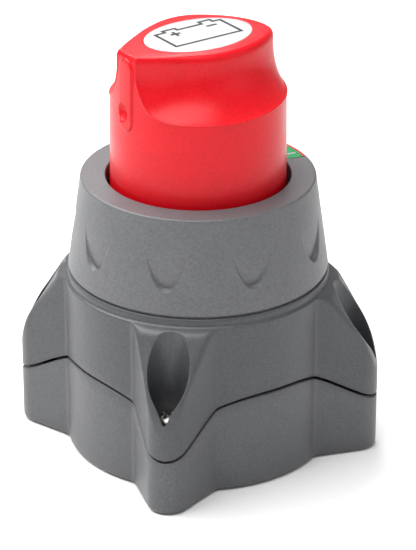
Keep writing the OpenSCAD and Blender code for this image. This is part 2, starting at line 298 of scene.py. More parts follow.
def corner(p, r, steps=5):
    """A rounded corner in a profile: p before, at and after it, r the round's size."""
    before, at, after = (np.asarray(q, dtype=float) for q in p)
    into = (before - at) / np.linalg.norm(before - at)
    out = (after - at) / np.linalg.norm(after - at)
    a, c = at + into * r, at + out * r
    t = np.linspace(0, 1, steps + 1)[:, None]
    return (1 - t) ** 2 * a + 2 * t * (1 - t) * at + t**2 * c


def rounded_profile(points, rounds, steps=5):
    """A closed profile of (radius, height) with its corners rounded."""
    n = len(points)
    out = []
    for i in range(n):
        if rounds[i] > 0:
            trio = (points[i - 1], points[i], points[(i + 1) % n])
            out.extend(corner(trio, rounds[i], steps))
        else:
            out.append(np.asarray(points[i], dtype=float))
    return out


def smooth_step(x):
    x = np.clip(x, 0.0, 1.0)
    return x * x * (3 - 2 * x)


def soft_min(a, b, k):
    """The smaller of two values, blended over about k."""
    h = np.clip(0.5 + 0.5 * (b - a) / k, 0.0, 1.0)
    return b * (1 - h) + a * h - k * h * (1 - h)


def inside(xy, loop):
    """Which points lie inside a closed loop."""
    x, y = xy[:, 0][:, None], xy[:, 1][:, None]
    x1, y1 = loop[:, 0][None], loop[:, 1][None]
    x2, y2 = np.roll(loop[:, 0], -1)[None], np.roll(loop[:, 1], -1)[None]
    spans = (y1 > y) != (y2 > y)
    with np.errstate(divide="ignore", invalid="ignore"):
        at = x1 + (y - y1) * (x2 - x1) / (y2 - y1)
    return (np.sum(spans & (x < at), axis=1) % 2) == 1


def nearest(xy, loops):
    """Distance of each point from the nearest point of the loops."""
    best = np.full(len(xy), 1e9)
    for loop in loops:
        d = np.hypot(xy[:, 0][:, None] - loop[:, 0][None], xy[:, 1][:, None] - loop[:, 1][None])
        best = np.minimum(best, d.min(axis=1))
    return best


def plan_sheet(shape, outer, holes, inner_xy, height, clear=0.4):
    """Fills the plan area between loops of existing points with a triangle sheet.

    outer and holes are rows of point numbers, inner_xy are extra points in plan, and height
    gives their heights.
    """
    pts = shape.all_points()
    loops = [pts[outer][:, :2]] + [pts[h][:, :2] for h in holes]
    numbers = np.concatenate([outer] + list(holes))
    if len(inner_xy):
        keep = inside(inner_xy, loops[0])
        for hole in loops[1:]:
            keep &= ~inside(inner_xy, hole)
        inner_xy = inner_xy[keep]
        inner_xy = inner_xy[nearest(inner_xy, loops) > clear]
        added = shape.points(np.column_stack([inner_xy, height(inner_xy)]))
        numbers = np.concatenate([numbers, added])
    xy = np.concatenate(loops + ([inner_xy] if len(inner_xy) else []))
    edges, first = [], 0
    for loop in loops:
        n = len(loop)
        edges += [(first + i, first + (i + 1) % n) for i in range(n)]
        first += n
    result = delaunay_2d_cdt([Vector(p) for p in xy.tolist()], edges, [], 0, 1e-6)
    verts, faces, source = np.array([v[:] for v in result[0]]), result[2], result[3]
    faces = np.array(faces)
    middle = verts[faces].mean(axis=1)
    keep = inside(middle, loops[0])
    for hole in loops[1:]:
        keep &= ~inside(middle, hole)
    back = np.array([s[0] if s else -1 for s in source])
    faces = back[faces[keep]]
    faces = faces[(faces >= 0).all(axis=1)]
    shape.faces.extend(numbers[faces].tolist())


def polar_grid(r0, r1, step, spacing):
    """Points in plan on circles from r0 to r1."""
    out = []
    for k, r in enumerate(np.arange(r0, r1, step)):
        n = max(12, int(2 * math.pi * r / spacing))
        a = 2 * np.pi * (np.arange(n) + 0.5 * (k % 2)) / n
        out.append(np.column_stack([r * np.cos(a), r * np.sin(a)]))
    return np.concatenate(out)


def circle(r, n=360):
    a = 2 * np.pi * np.arange(n) / n
    return np.column_stack([r * np.cos(a), r * np.sin(a)])


def level(xy, z):
    """Plan points lifted to a height or to one height each."""
    return np.column_stack([xy, np.broadcast_to(z, len(xy))])


# ---------------------------------------------------------------- the lobed outline


def lobe_half(s):
    """Half of one quarter of the outline, from lobe tip to mid-side, with normals."""
    nose, body, valley = mm(s, "nose_r"), mm(s, "body_r"), mm(s, "valley_r")
    centre = mm(s, "tip_r") - nose
    lean = math.radians(27)
    normal = np.array([math.sin(lean), math.cos(lean)])
    along = np.array([-math.cos(lean), math.sin(lean)])
    tangent = np.array([centre, 0]) + nose * normal
    reach = normal @ tangent
    to_valley = math.sqrt((body + valley) ** 2 - (reach + valley) ** 2)
    hollow = normal * (reach + valley) + along * -to_valley
    points, normals = [], []
    for t in np.linspace(0, math.pi / 2 - lean, 15)[:-1]:
        d = np.array([math.cos(t), math.sin(t)])
        points.append(np.array([centre, 0]) + nose * d)
        normals.append(d)
    end = hollow - valley * normal
    for t in np.linspace(0, 1, 22)[:-1]:
        points.append(tangent + (end - tangent) * t)
        normals.append(normal)
    a0 = math.atan2(-normal[1], -normal[0]) % (2 * math.pi)
    a1 = math.atan2(-hollow[1], -hollow[0]) % (2 * math.pi)
    for t in np.linspace(a0, a1, 10)[:-1]:
        d = np.array([math.cos(t), math.sin(t)])
        points.append(hollow + valley * d)
        normals.append(-d)
    start = math.atan2(hollow[1], hollow[0])
    for t in np.linspace(start, math.pi / 4, 24):
        d = np.array([math.cos(t), math.sin(t)])
        points.append(body * d)
        normals.append(d)
    return np.array(points), np.array(normals)


def outline(s):
    """The whole outline anticlockwise, and its outward normals."""
    p, n = lobe_half(s)
    flip = np.array([1, -1])
    points = np.concatenate([(p * flip)[::-1][1:], p[1:]])
    normals = np.concatenate([(n * flip)[::-1][1:], n[1:]])
    out_p, out_n = [], []
    for k in range(LOBES):
        a = math.radians(45 + 90 * k)
        turn = np.array([[math.cos(a), math.sin(a)], [-math.sin(a), math.cos(a)]])
        out_p.append(points @ turn)
        out_n.append(normals @ turn)
    return np.concatenate(out_p), np.concatenate(out_n)


def joint_height(s, xy):
    """Height of the joint line over points in plan."""
    side, tip = mm(s, "joint_side"), mm(s, "joint_tip")

    def one(v):
        u = np.minimum(1.0, np.abs(v) / 47.0)
        return side - (side - tip) * np.sin(np.pi / 2 * u**1.45) ** 2

    return np.maximum(one(xy[:, 0]), one(xy[:, 1]))


NECK_AT, HOLLOW_AT, BROW_AT, SKIRT_AT = (46.26, 64.6), (46.3, 63.95), (49.8, 62.94), (58.55, 48.93)
SHOULDER = np.array([
    (46.2, 66.8),
    *corner((NECK_AT, HOLLOW_AT, BROW_AT), 0.62, 4),
    *corner((HOLLOW_AT, BROW_AT, SKIRT_AT), 1.7, 6),
    SKIRT_AT])


def shoulder_height(r):
    """Height of the cover's shoulder at a distance from the axis."""
    top = np.interp(r, SHOULDER[:, 0], SHOULDER[:, 1])
    round_r, c_r, c_z = 44.4, 20.9, 25.4
    low = c_z + np.sqrt(np.maximum(0.0, round_r**2 - (np.maximum(r, SKIRT_AT[0]) - c_r) ** 2))
    return np.where(r > SKIRT_AT[0], low, top)


def teardrop(s):
    """Plan loops of the four screw pockets, and their normals out of the pocket."""
    big, small, c0, c1 = mm(s, "pocket_r"), 1.7, 55.9, 62.5
    turn_at = math.acos((big - small) / (c1 - c0))
    p, n = [], []
    for t in np.linspace(turn_at, 2 * math.pi - turn_at, 64):
        n.append((math.cos(t), math.sin(t)))
        p.append((c0 + big * math.cos(t), big * math.sin(t)))
    low = np.array(p[-1])
    tip = np.array((c1 + small * math.cos(-turn_at), small * math.sin(-turn_at)))
    for t in np.linspace(0, 1, 7)[1:-1]:
        p.append(tuple(low + (tip - low) * t))
        n.append((math.cos(-turn_at), math.sin(-turn_at)))
    for t in np.linspace(-turn_at, turn_at, 9):
        n.append((math.cos(t), math.sin(t)))
        p.append((c1 + small * math.cos(t), small * math.sin(t)))
    for t in np.linspace(0, 1, 7)[1:-1]:
        a = np.array((c1 + small * math.cos(turn_at), small * math.sin(turn_at)))
        b = np.array((c0 + big * math.cos(turn_at), big * math.sin(turn_at)))
        p.append(tuple(a + (b - a) * t))
        n.append((math.cos(turn_at), math.sin(turn_at)))
    p, n = np.array(p), np.array(n)
    loops = []
    for k in range(LOBES):
        a = math.radians(45 + 90 * k)
        turn = np.array([[math.cos(a), math.sin(a)], [-math.sin(a), math.cos(a)]])
        loops.append((p @ turn, n @ turn))
    return loops


# ---------------------------------------------------------------- finishes


def node(tree, kind, x, y, **values):
    made = tree.nodes.new(kind)
    made.location = (x, y)
    for key, value in values.items():
        setattr(made, key, value)
    return made


def finish_material(name):
    """A new node material and its tree, shader and object coordinates."""
    mat = bpy.data.materials.new(name)
    mat.use_nodes = True
    tree = mat.node_tree
    tree.nodes.clear()
    shader = node(tree, "ShaderNodeBsdfPrincipled", 300, 0)
    output = node(tree, "ShaderNodeOutputMaterial", 620, 0)
    tree.links.new(shader.outputs["BSDF"], output.inputs["Surface"])
    place = node(tree, "ShaderNodeTexCoord", -1100, 0)
    return mat, tree, shader, place.outputs["Object"]


def noise(tree, place, scale, detail=3.0, rough=0.55, x=-800, y=0):
    made = node(tree, "ShaderNodeTexNoise", x, y)
    made.inputs["Scale"].default_value = scale
    made.inputs["Detail"].default_value = detail
    made.inputs["Roughness"].default_value = rough
    tree.links.new(place, made.inputs["Vector"])
    return made.outputs["Fac"]


def spread(tree, value, low, high, x=-500, y=0, src=(0.3, 0.7)):
    made = node(tree, "ShaderNodeMapRange", x, y)
    made.inputs["From Min"].default_value = src[0]
    made.inputs["From Max"].default_value = src[1]
    made.inputs["To Min"].default_value = low
    made.inputs["To Max"].default_value = high
    tree.links.new(value, made.inputs["Value"])
    return made.outputs["Result"]


def tint(tree, shader, value, rgb, low, high, x=-200, y=200):
    """Base colour that varies between a darker and a lighter shade."""
    ramp = node(tree, "ShaderNodeValToRGB", x, y)
    ramp.color_ramp.elements[0].position = 0.28
    ramp.color_ramp.elements[1].position = 0.72
    ramp.color_ramp.elements[0].color = tuple(min(1.0, c * low) for c in rgb) + (1.0,)
    ramp.color_ramp.elements[1].color = tuple(min(1.0, c * high) for c in rgb) + (1.0,)
    tree.links.new(value, ramp.inputs["Fac"])
    tree.links.new(ramp.outputs["Color"], shader.inputs["Base Color"])


def grained_plastic(name, rgb, roughness, grain=1150.0, depth=0.00009, strength=0.7,
                    contrast=0.24, specular=0.5):
    """Moulded plastic with the fine spark-eroded grain of its tool."""
    mat, tree, shader, place = finish_material(name)
    fine = noise(tree, place, grain, 2.0, 0.6, y=-200)
    broad = noise(tree, place, 90.0, 4.0, 0.6, y=200)
    mixed = node(tree, "ShaderNodeMath", -520, 260, operation="MULTIPLY_ADD")
    tree.links.new(fine, mixed.inputs[0])
    mixed.inputs[1].default_value = 0.75
    part = node(tree, "ShaderNodeMath", -660, 120, operation="MULTIPLY")
    tree.links.new(broad, part.inputs[0])
    part.inputs[1].default_value = 0.25
    tree.links.new(part.outputs[0], mixed.inputs[2])
    tint(tree, shader, mixed.outputs[0], rgb, 1 - contrast, 1 + contrast)
    rough = spread(tree, broad, roughness - 0.04, roughness + 0.05, y=-20)
    tree.links.new(rough, shader.inputs["Roughness"])
    bump = node(tree, "ShaderNodeBump", -60, -240)
    bump.inputs["Strength"].default_value = strength
    bump.inputs["Distance"].default_value = depth
    tree.links.new(fine, bump.inputs["Height"])
    tree.links.new(bump.outputs["Normal"], shader.inputs["Normal"])
    shader.inputs["Specular IOR Level"].default_value = specular
    return mat


def plated_metal(name, rgb, roughness, grain=700.0, stretch=(1.0, 1.0, 1.0), strength=0.15,
                 dull=0.12):
    """Metal with fine tool marks and a slightly uneven tarnish."""
    mat, tree, shader, place = finish_material(name)
    mapping = node(tree, "ShaderNodeMapping", -960, 0)
    mapping.inputs["Scale"].default_value = stretch
    tree.links.new(place, mapping.inputs["Vector"])
    marks = noise(tree, mapping.outputs["Vector"], grain, 3.0, 0.6, y=-200)
    stain = noise(tree, place, 160.0, 4.0, 0.6, y=200)
    tint(tree, shader, stain, rgb, 1 - dull, 1 + dull)
    rough = spread(tree, marks, roughness - 0.07, roughness + 0.10, y=-20)
    tree.links.new(rough, shader.inputs["Roughness"])
    bump = node(tree, "ShaderNodeBump", -60, -240)
    bump.inputs["Strength"].default_value = strength
    bump.inputs["Distance"].default_value = 0.00003
    tree.links.new(marks, bump.inputs["Height"])
    tree.links.new(bump.outputs["Normal"], shader.inputs["Normal"])
    shader.inputs["Metallic"].default_value = 1.0
    return mat


def printed_film(name, rgb, roughness=0.22, contrast=0.02):
    """Glossy printed film: a nearly even colour with a faint unevenness in its gloss."""
    mat, tree, shader, place = finish_material(name)
    ripple = noise(tree, place, 220.0, 2.0, 0.5)
    tint(tree, shader, ripple, rgb, 1 - contrast, 1 + contrast)
    rough = spread(tree, ripple, roughness - 0.03, roughness + 0.05, y=-20)
    tree.links.new(rough, shader.inputs["Roughness"])
    bump = node(tree, "ShaderNodeBump", -60, -240)
    bump.inputs["Strength"].default_value = 0.05
    bump.inputs["Distance"].default_value = 0.00004
    tree.links.new(ripple, bump.inputs["Height"])
    tree.links.new(bump.outputs["Normal"], shader.inputs["Normal"])
    return mat


FINISH = {}


def finish(key):
    """The finish of that name, made on first use from the scene's colours."""
    if key in FINISH:
        return FINISH[key]
    c = bpy.context.scene.switch_colours
    rgb = {k: tuple(getattr(c, k)) for k in FinishColours.__annotations__}
    makers = {
        "base_grey": lambda: grained_plastic("base_grey_plastic", rgb["base_grey"], 0.40),
        "cover_grey": lambda: grained_plastic(
            "cover_grey_plastic", rgb["cover_grey"], 0.38, specular=0.45),
        "collar_grey": lambda: grained_plastic(
            "collar_grey_plastic", rgb["collar_grey"], 0.44, depth=0.00004),
        "knob_red": lambda: grained_plastic(
            "knob_red_plastic", rgb["knob_red"], 0.33, depth=0.00006, contrast=0.13, specular=0.3),
        "label_white": lambda: printed_film("label_white_film", rgb["label_white"]),
        "print_dark": lambda: printed_film("label_ink", rgb["print_dark"], 0.4, 0.08),
        "label_green": lambda: printed_film("ring_green_film", rgb["mark_green"], 0.35, 0.05),
        "label_red": lambda: printed_film("ring_red_film", rgb["mark_red"], 0.35, 0.05),
        "zinc_steel": lambda: plated_metal("zinc_plated_steel", rgb["zinc"], 0.32),
        "spindle_steel": lambda: plated_metal(
            "turned_steel", rgb["steel"], 0.28, stretch=(1.0, 1.0, 6.0)),
        "spring_steel": lambda: plated_metal("spring_steel", rgb["spring"], 0.38),
        "ball_steel": lambda: plated_metal("ball_steel", rgb["steel"], 0.14, strength=0.04),
        "stud_brass": lambda: plated_metal("stud_brass", rgb["brass"], 0.27),
        "copper": lambda: plated_metal("contact_copper", rgb["copper"], 0.33),
        "seal_rubber": lambda: grained_plastic(
            "seal_rubber", rgb["rubber"], 0.62, grain=1500.0, contrast=0.2),
        "bush_plastic": lambda: grained_plastic("bush_plastic", rgb["bush"], 0.38),
        "rotor_black": lambda: grained_plastic("rotor_black_plastic", rgb["rotor"], 0.42),
        "ring_plastic": lambda: grained_plastic("ring_plastic", rgb["ring"], 0.48),
    }
    FINISH[key] = makers[key]()
    return FINISH[key]


def settle(piece, body, slot, *nodes):
    """Rides the piece on its body and hides the CAD parts it stands in for. The slot argument is
    not used.
    """
    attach(piece, body)
    if nodes:
        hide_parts(*nodes)
    return piece


# ---------------------------------------------------------------- base and cover


def base_piece(s):
    shape = Shape()
    p, n = outline(s)
    foot = mm(s, "foot_round")
    rows = []
    for t in np.linspace(0, 1, 7):
        a = t * math.pi / 2
        rows.append(level(p - n * foot * (1 - math.sin(a)), foot * (1 - math.cos(a))))
    joint = joint_height(s, p)
    edge = 0.35
    for t in np.linspace(0, 1, 8)[1:]:
        rows.append(level(p, foot + (joint - edge - foot) * t))
    for t in (0.5, 1.0):
        a = t * math.pi / 2
        top = joint_height(s, p - n * edge)
        z = (joint - edge) * (1 - t) + top * t - 0.05 * (1 - t)
        rows.append(level(p - n * edge * (1 - math.cos(a)), z))
    made = shape.rows(rows)
    spigot, bore, floor_r = 43.6, 38.5, 40.0
    ring = circle(spigot)
    foot_of = shape.points(level(ring, joint_height(s, ring)))
    grid = polar_grid(spigot + 0.8, 64.5, 1.6, 1.6)
    plan_sheet(shape, made[-1], [foot_of], grid, lambda q: joint_height(s, q), 0.7)
    groove = [(spigot, 36.4), (41.85, 36.4), (41.85, 38.6), (spigot, 38.6)]
    profile = groove + [(spigot, 39.7), (spigot - 0.3, 40.0), (bore, 40.0), (bore, 25.0)]
    previous = foot_of
    for r, z in profile:
        row = shape.points(level(circle(r), z))
        shape.strip(previous, row)
        previous = row
    inner = circle(5.2, 48)
    hole_tops, hole_roofs = [], []
    for side in (-1, 1):
        at = inner + np.array([24.0 * side, 0])
        hole_tops.append(shape.points(level(at, 25.0)))
        hole_roofs.append(shape.points(level(at, 20.0)))
        shape.strip(hole_tops[-1], hole_roofs[-1])
    floor_grid = polar_grid(3, 38, 4, 4)
    plan_sheet(shape, previous, hole_tops, floor_grid, lambda q: np.full(len(q), 25.0), 1.0)
    roof = shape.points(level(circle(floor_r), 20.0))
    plan_sheet(shape, roof, hole_roofs, floor_grid, lambda q: np.full(len(q), 20.0), 1.0)
    lip = shape.points(level(circle(floor_r), 0.6))
    shape.strip(roof, lip)
    rim = shape.points(level(circle(floor_r + 0.5), 0.0))
    shape.strip(lip, rim)
    blind = []
    for k in range(LOBES):
        a = math.radians(45 + 90 * k)
        at = circle(2.1, 32) + mm(s, "screw_at") * np.array([math.cos(a), math.sin(a)])
        mouth = shape.points(level(at, 0.0))
        end = shape.points(level(at, 8.0))
        shape.strip(mouth, end)
        centre = mm(s, "screw_at") * np.array([math.cos(a), math.sin(a)])
        shape.cap(end, (centre[0], centre[1], 8.0))
        blind.append(mouth)
    under = polar_grid(floor_r + 1.5, 63, 1.8, 1.8)
    plan_sheet(shape, made[0], [rim] + blind, under, lambda q: np.zeros(len(q)), 0.8)
    return shape.build("base_shell", finish("base_grey"))


def cover_piece(s):
    shape = Shape()
    p, n = outline(s)
    radius = np.hypot(p[:, 0], p[:, 1])
    gap, edge = mm(s, "joint_gap"), 0.4
    pocket_loops = teardrop(s)
    room = nearest(p, [q for q, _ in pocket_loops])
    lobe_inset = np.clip(room - 0.6, 0.42, 1.5)
    body = mm(s, "body_r")
    on_body = 1 - smooth_step((radius - body - 0.1) / 2.5)
    inset = lobe_inset * (1 - on_body) + 0.35 * on_body
    drop = np.maximum(inset, 0.5) * (1.0 + 0.5 * (1 - on_body))

    corner_z = shoulder_height(radius)
    inner = p - n * inset[:, None]
    inner_z = shoulder_height(np.hypot(inner[:, 0], inner[:, 1]))
    a = np.column_stack([inner, inner_z])
    c = np.column_stack([p, corner_z])
    b = np.column_stack([p, corner_z - drop])
    rounded = [a] + bezier(a, c, b, 5)
    low = joint_height(s, p) + gap
    rows = [level(p - n * edge, joint_height(s, p - n * edge) + gap)]
    rows.append(level(p - n * edge * 0.3, low + edge * 0.3))
    for t in np.linspace(0, 1, 12):
        rows.append(level(p, (low + edge) * (1 - t) + (corner_z - drop) * t))
    rows += rounded[::-1][1:]
    made = shape.rows(rows)

    rims = []
    floor_z = mm(s, "pocket_floor")
    for q, out in pocket_loops:
        wide = q + out * 0.42
        z_wide = shoulder_height(np.hypot(wide[:, 0], wide[:, 1]))
        z_rim = shoulder_height(np.hypot(q[:, 0], q[:, 1]))
        rim = np.column_stack([wide, z_wide])
        corner_at = np.column_stack([q, z_rim])
        lip = np.column_stack([q, z_rim - 0.6])
        wall = [rim] + bezier(rim, corner_at, lip, 4)
        for t in (0.25, 0.5, 0.75, 1.0):
            wall.append(np.column_stack([q, (z_rim - 0.6) * (1 - t) + (floor_z + 0.6) * t]))
        wall.append(np.column_stack([q - out * 0.2, np.full(len(q), floor_z + 0.17)]))
        wall.append(np.column_stack([q - out * 0.6, np.full(len(q), floor_z)]))
        numbers = shape.rows(wall)
        rims.append(numbers[0])
        grid = polar_grid(50, 64, 1.5, 1.5)
        plan_sheet(shape, numbers[-1], [], grid, lambda v: np.full(len(v), floor_z), 0.8)

    neck = mm(s, "neck_r")
    profile = [(46.45, 64.1), (46.32, 64.32), (46.26, 64.6), (46.23, 65.5), (neck, 66.5),
               (neck - 0.3, 66.8), (10.02, 66.8), (10.02, 57.5), (13.6, 57.5), (14.0, 57.9),
               (14.0, 60.0), (41.0, 60.0), (41.0, 40.0), (44.0, 40.0)]
    previous = top = shape.points(level(circle(profile[0][0]), profile[0][1]))
    for r, z in profile[1:]:
        row = shape.points(level(circle(r), z))
        shape.strip(previous, row)
        previous = row
    skirt = circle(44.0)
    last = shape.points(level(skirt, joint_height(s, skirt) + gap))
    shape.strip(previous, last)

    def shoulder_of(v):
        return shoulder_height(np.hypot(v[:, 0], v[:, 1]))

    grid = np.concatenate([polar_grid(46.62, 50.8, 0.42, 0.9), polar_grid(51, 65, 0.8, 0.8)])
    plan_sheet(shape, made[-1], [top] + rims, grid, shoulder_of, 0.34)
    under = polar_grid(44.9, 64.5, 1.6, 1.6)
    plan_sheet(shape, made[0], [last], under, lambda v: joint_height(s, v) + gap, 0.7)
    return shape.build("cover_shell", finish("cover_grey"))


# ---------------------------------------------------------------- screws and studs


def screw_head_grid(shape, at, seat, turn, r=4.75, tall=3.7):
    """A pan head as a fine grid, with the cross recess sunk into its crown."""
    az = np.linspace(0, 360, 145)[:-1]
    rows = [(2.4, seat - 20.0), (2.4, seat + 0.01), (r - 0.3, seat + 0.01), (r, seat + 0.3),
            (r, seat + 0.9)]
    grid = [turned(az, q, z) for q, z in rows]
    crown_r = np.concatenate([r * np.cos(np.linspace(0, 1.1, 9)[1:]) ** 0.9,
                              np.linspace(2.2, 0.15, 16)])
    a = np.radians(az + turn)
    for q in crown_r:
        z = seat + 0.9 + (tall - 0.95) * math.sqrt(max(0.0, 1 - (q / r) ** 2.2))
        x, y = q * np.cos(a), q * np.sin(a)
        across = np.minimum(np.abs(x), np.abs(y))
        along = np.maximum(np.abs(x), np.abs(y))
        cut = smooth_step((0.72 - across) / 0.3) * smooth_step((2.75 - along) / 0.35)
        depth = 1.5 * cut * (1 - 0.45 * along / 2.75)
        grid.append(turned(az, q, z - depth))
    moved = [g + np.array([at[0], at[1], 0.0]) for g in grid]
    made = shape.rows(moved)
    shape.cap(made[0], (at[0], at[1], seat - 20.5), up=False)
    shape.cap(made[-1], (at[0], at[1], float(moved[-1][0][2])))


def threaded(shape, at, r, z0, z1, pitch=1.5, depth=0.45):
    """A stud with its thread cut as real geometry and a chamfered end."""
    az = np.linspace(0, 360, 49)[:-1]
    levels = np.arange(z0, z1 + 0.001, pitch / 6)
    rows = []
    for z in levels:
        phase = ((z - z0) / pitch - az / 360.0) % 1.0
        cut = 1 - np.abs(2 * phase - 1)
        fade = min(1.0, (z - z0) / 1.2, (z1 - z) / 1.2)
        radius = r - depth * smooth_step(cut * 1.3) * max(0.0, fade)
        chamfer = max(0.0, 0.8 - (z - z0))
        rows.append(turned(az, np.minimum(radius, r - chamfer), z) + np.array([*at, 0.0]))
    made = shape.rows(rows)
    shape.cap(made[0], (at[0], at[1], float(levels[0])), up=False)
    shape.cap(made[-1], (at[0], at[1], float(levels[-1])))


def hexagon_nut(shape, at, across, z0, z1, hole):
    """A hexagon nut with turned-off corners."""
    az = np.linspace(0, 360, 121)[:-1]
    local = (az % 60) - 30
    flat = across / 2 / np.cos(np.radians(local))
    corner_r = across / math.sqrt(3)
    rows = []
    outline_rows = [(z0, corner_r - 1.0), (z0 + 0.5, corner_r - 0.15), (z0 + 0.9, corner_r),
                    (z1 - 0.9, corner_r), (z1 - 0.5, corner_r - 0.15), (z1, corner_r - 1.0)]
    for z, limit in outline_rows:
        rows.append(turned(az, np.minimum(flat, limit), z))
    for radius, z in ((hole + 0.7, z1), (hole, z1 - 0.7), (hole, z0 + 0.7), (hole + 0.7, z0)):
        rows.append(turned(az, radius, z))
    shape.rows([q + np.array([*at, 0.0]) for q in rows], ring=True)


def washer(shape, at, inner, outer, z0, z1, split=False):
    """A washer with softened edges, or a split spring washer."""
    profile = rounded_profile(
        [(inner, z0), (outer, z0), (outer, z1), (inner, z1)], [0.15, 0.3, 0.3, 0.15], 3)
    if not split:
        az = np.linspace(0, 360, 97)[:-1]
        rows = [turned(az, q[0], q[1]) + np.array([*at, 0.0]) for q in profile]
        shape.rows(rows, ring=True)
        return
    az = np.linspace(5, 355, 88) + 90
    rows = [turned(az, q[0], q[1]) + np.array([*at, 0.0]) for q in profile]
    made = shape.rows(rows, closed=False, ring=True)
    for column, up in ((0, True), (-1, False)):
        end = [int(row[column]) for row in made]
        shape.faces.append(end if up else end[::-1])


# ---------------------------------------------------------------- collar


def collar_piece(s):
    flutes, width = s.flutes, mm(s, "flute_w")
    pitch = 360.0 / flutes
    span = np.concatenate([np.linspace(-11.5, 11.5, 90), np.linspace(11.5, pitch - 11.5, 15)[1:-1]])
    az = np.concatenate([1.0 + k * pitch + span for k in range(flutes)])
    foot_r, top_r = mm(s, "foot_r"), mm(s, "top_r")
    foot_z, top_z = mm(s, "foot_z"), mm(s, "top_z")
    bore = mm(s, "bore_r")
    lean = (top_r - foot_r) / (top_z - foot_z)

    def cone(z):
        return foot_r + (z - foot_z) * lean

    local = (az - 1.0 + pitch / 2) % pitch - pitch / 2
    rows = []

    def add(r, z):
        rows.append(turned(az, r, z))

    add(13.0, 66.8)
    add(foot_r - 0.6, 66.8)
    add(foot_r - 0.6, foot_z - 0.02)
    for r, z in corner(((foot_r - 0.6, foot_z), (foot_r, foot_z), (cone(foot_z + 3), foot_z + 3)),
                       0.3, 4):
        add(r, z)
    heights = np.concatenate([
        np.linspace(foot_z + 1, 75.4, 8), np.arange(75.6, 86.0, 0.26),
        np.linspace(86.2, 97.0, 24), np.linspace(97.6, top_z - 1.2, 5)])
    foot_of_flute = mm(s, "flute_bottom")
    bow = 11.0 / (width / 2) ** 2.35
    for z in heights:
        r = cone(z)
        x = r * np.sin(np.radians(local))
        reach = (z - foot_of_flute - bow * np.abs(x) ** 2.35) / np.sqrt(
            1 + (2.35 * bow * np.abs(x) ** 1.35) ** 2)
        fade = min(1.0, max(0.0, (z - mm(s, "flute_bottom")) / mm(s, "flute_tall")))
        depth = mm(s, "flute_deep") * (1.0 - fade) ** 2
        add(r - depth * smooth_step(reach / 0.5 + 0.05), z)
    for r, z in corner(((cone(top_z - 3), top_z - 3), (top_r, top_z), (top_r - 3, top_z)), 0.75, 6):
        add(r, z)
    for r in np.linspace(top_r - 1.5, bore + 1.0, 6):
        add(r, top_z)
    for r, z in corner(((bore + 2, top_z), (bore, top_z), (bore, top_z - 2)), 0.5, 5):
        add(r, z)
    add(bore, 90.0)
    add(bore, 71.0)
    add(13.0, 71.0)
    shape = Shape()
    shape.rows(rows, ring=True)
    return shape.build("collar_shell", finish("collar_grey"))


def sector(shape, a0, a1, r0, r1, z0, z1, edge=0.04):
    """A thin curved plate on the ring, with a softened upper edge."""
    n = max(8, int((a1 - a0) * 2))
    az = np.linspace(a0, a1, n)
    soft = math.degrees(edge / r1)
    tight = np.linspace(a0 + soft, a1 - soft, n)
    rows = [turned(az, r0, z0), turned(az, r1, z0), turned(az, r1, z1 - edge),
            turned(tight, r1 - edge, z1)]
    rows += [turned(tight, r1 + (r0 - r1) * t, z1) for t in np.linspace(0, 1, 7)[1:-1]]
    rows += [turned(tight, r0 + edge, z1), turned(az, r0, z1 - edge)]
    made = shape.rows(rows, closed=False, ring=True)
    for column, flip in ((0, False), (-1, True)):
        end = [int(row[column]) for row in made]
        shape.faces.append(end[::-1] if flip else end)


# ---------------------------------------------------------------- knob


POINTER_AT = 1.2
POINTER_HALF = 10.4
LIP_BEAD = 0.3
RIB_LOW, RIB_HIGH = 128.6, 148.4
DIMPLE_AT, DIMPLE_R = (-0.6, -33.0, 131.6), 4.0
BEAD_X, BEAD_Z, BEAD_R, BEAD_OUT = -0.2, 132.2, 1.3, 0.8


def fall(away, steep, bend):
    """How much of the pointer's reach is left at an angle away from its corner."""
    gap = np.maximum(0.0, away - POINTER_HALF)
    return np.exp(-gap * (steep + bend * gap))


def past(away, start, span):
    """How far an angle is past a start, as a share of a span."""
    return np.maximum(0.0, away - start) / span


def grip_wall(turn):
    """Radius of the grip's upright wall, with its two waists and its lopsided tail."""
    away = np.abs(turn)
    corner_r, tail_r = 30.3, 26.4
    near_waist, near_swell = 19.2, 8.4
    far_waist, far_swell = 20.7, 2.2
    near = near_waist + (corner_r - near_waist) * fall(away, 0.044, 0.00032)
    near = near + near_swell * soft_min(past(away, 75.0, 85.0), 1.0, 0.12) ** 2.5
    near = near + (tail_r - near_waist - near_swell) * past(away, 163.0, 17.0) ** 1.3
    far = far_waist + (corner_r - far_waist) * fall(away, 0.048, 0.0005)
    far = far + far_swell * smooth_step((away - 65.0) / 60.0)
    far = far + (tail_r - far_waist - far_swell) * past(away, 140.0, 40.0) ** 1.3
    nose = 0.33 * np.maximum(0.0, POINTER_HALF - away)
    return np.where(turn >= 0, near, far) + nose


def grip_foot(away):
    """Radius that the hollow starts from at its lip, far out beside the pointer."""
    return 31.1 + np.minimum(14.0, 10.2 * np.exp((12.5 - away) / 7.6))


def grip_roll(away):
    """How far the grip's top edge is rolled in, least at the pointer."""
    return 1.3 + 1.5 * smooth_step((away - 18.0) / 50.0) - 0.6 * smooth_step((away - 120.0) / 30.0)


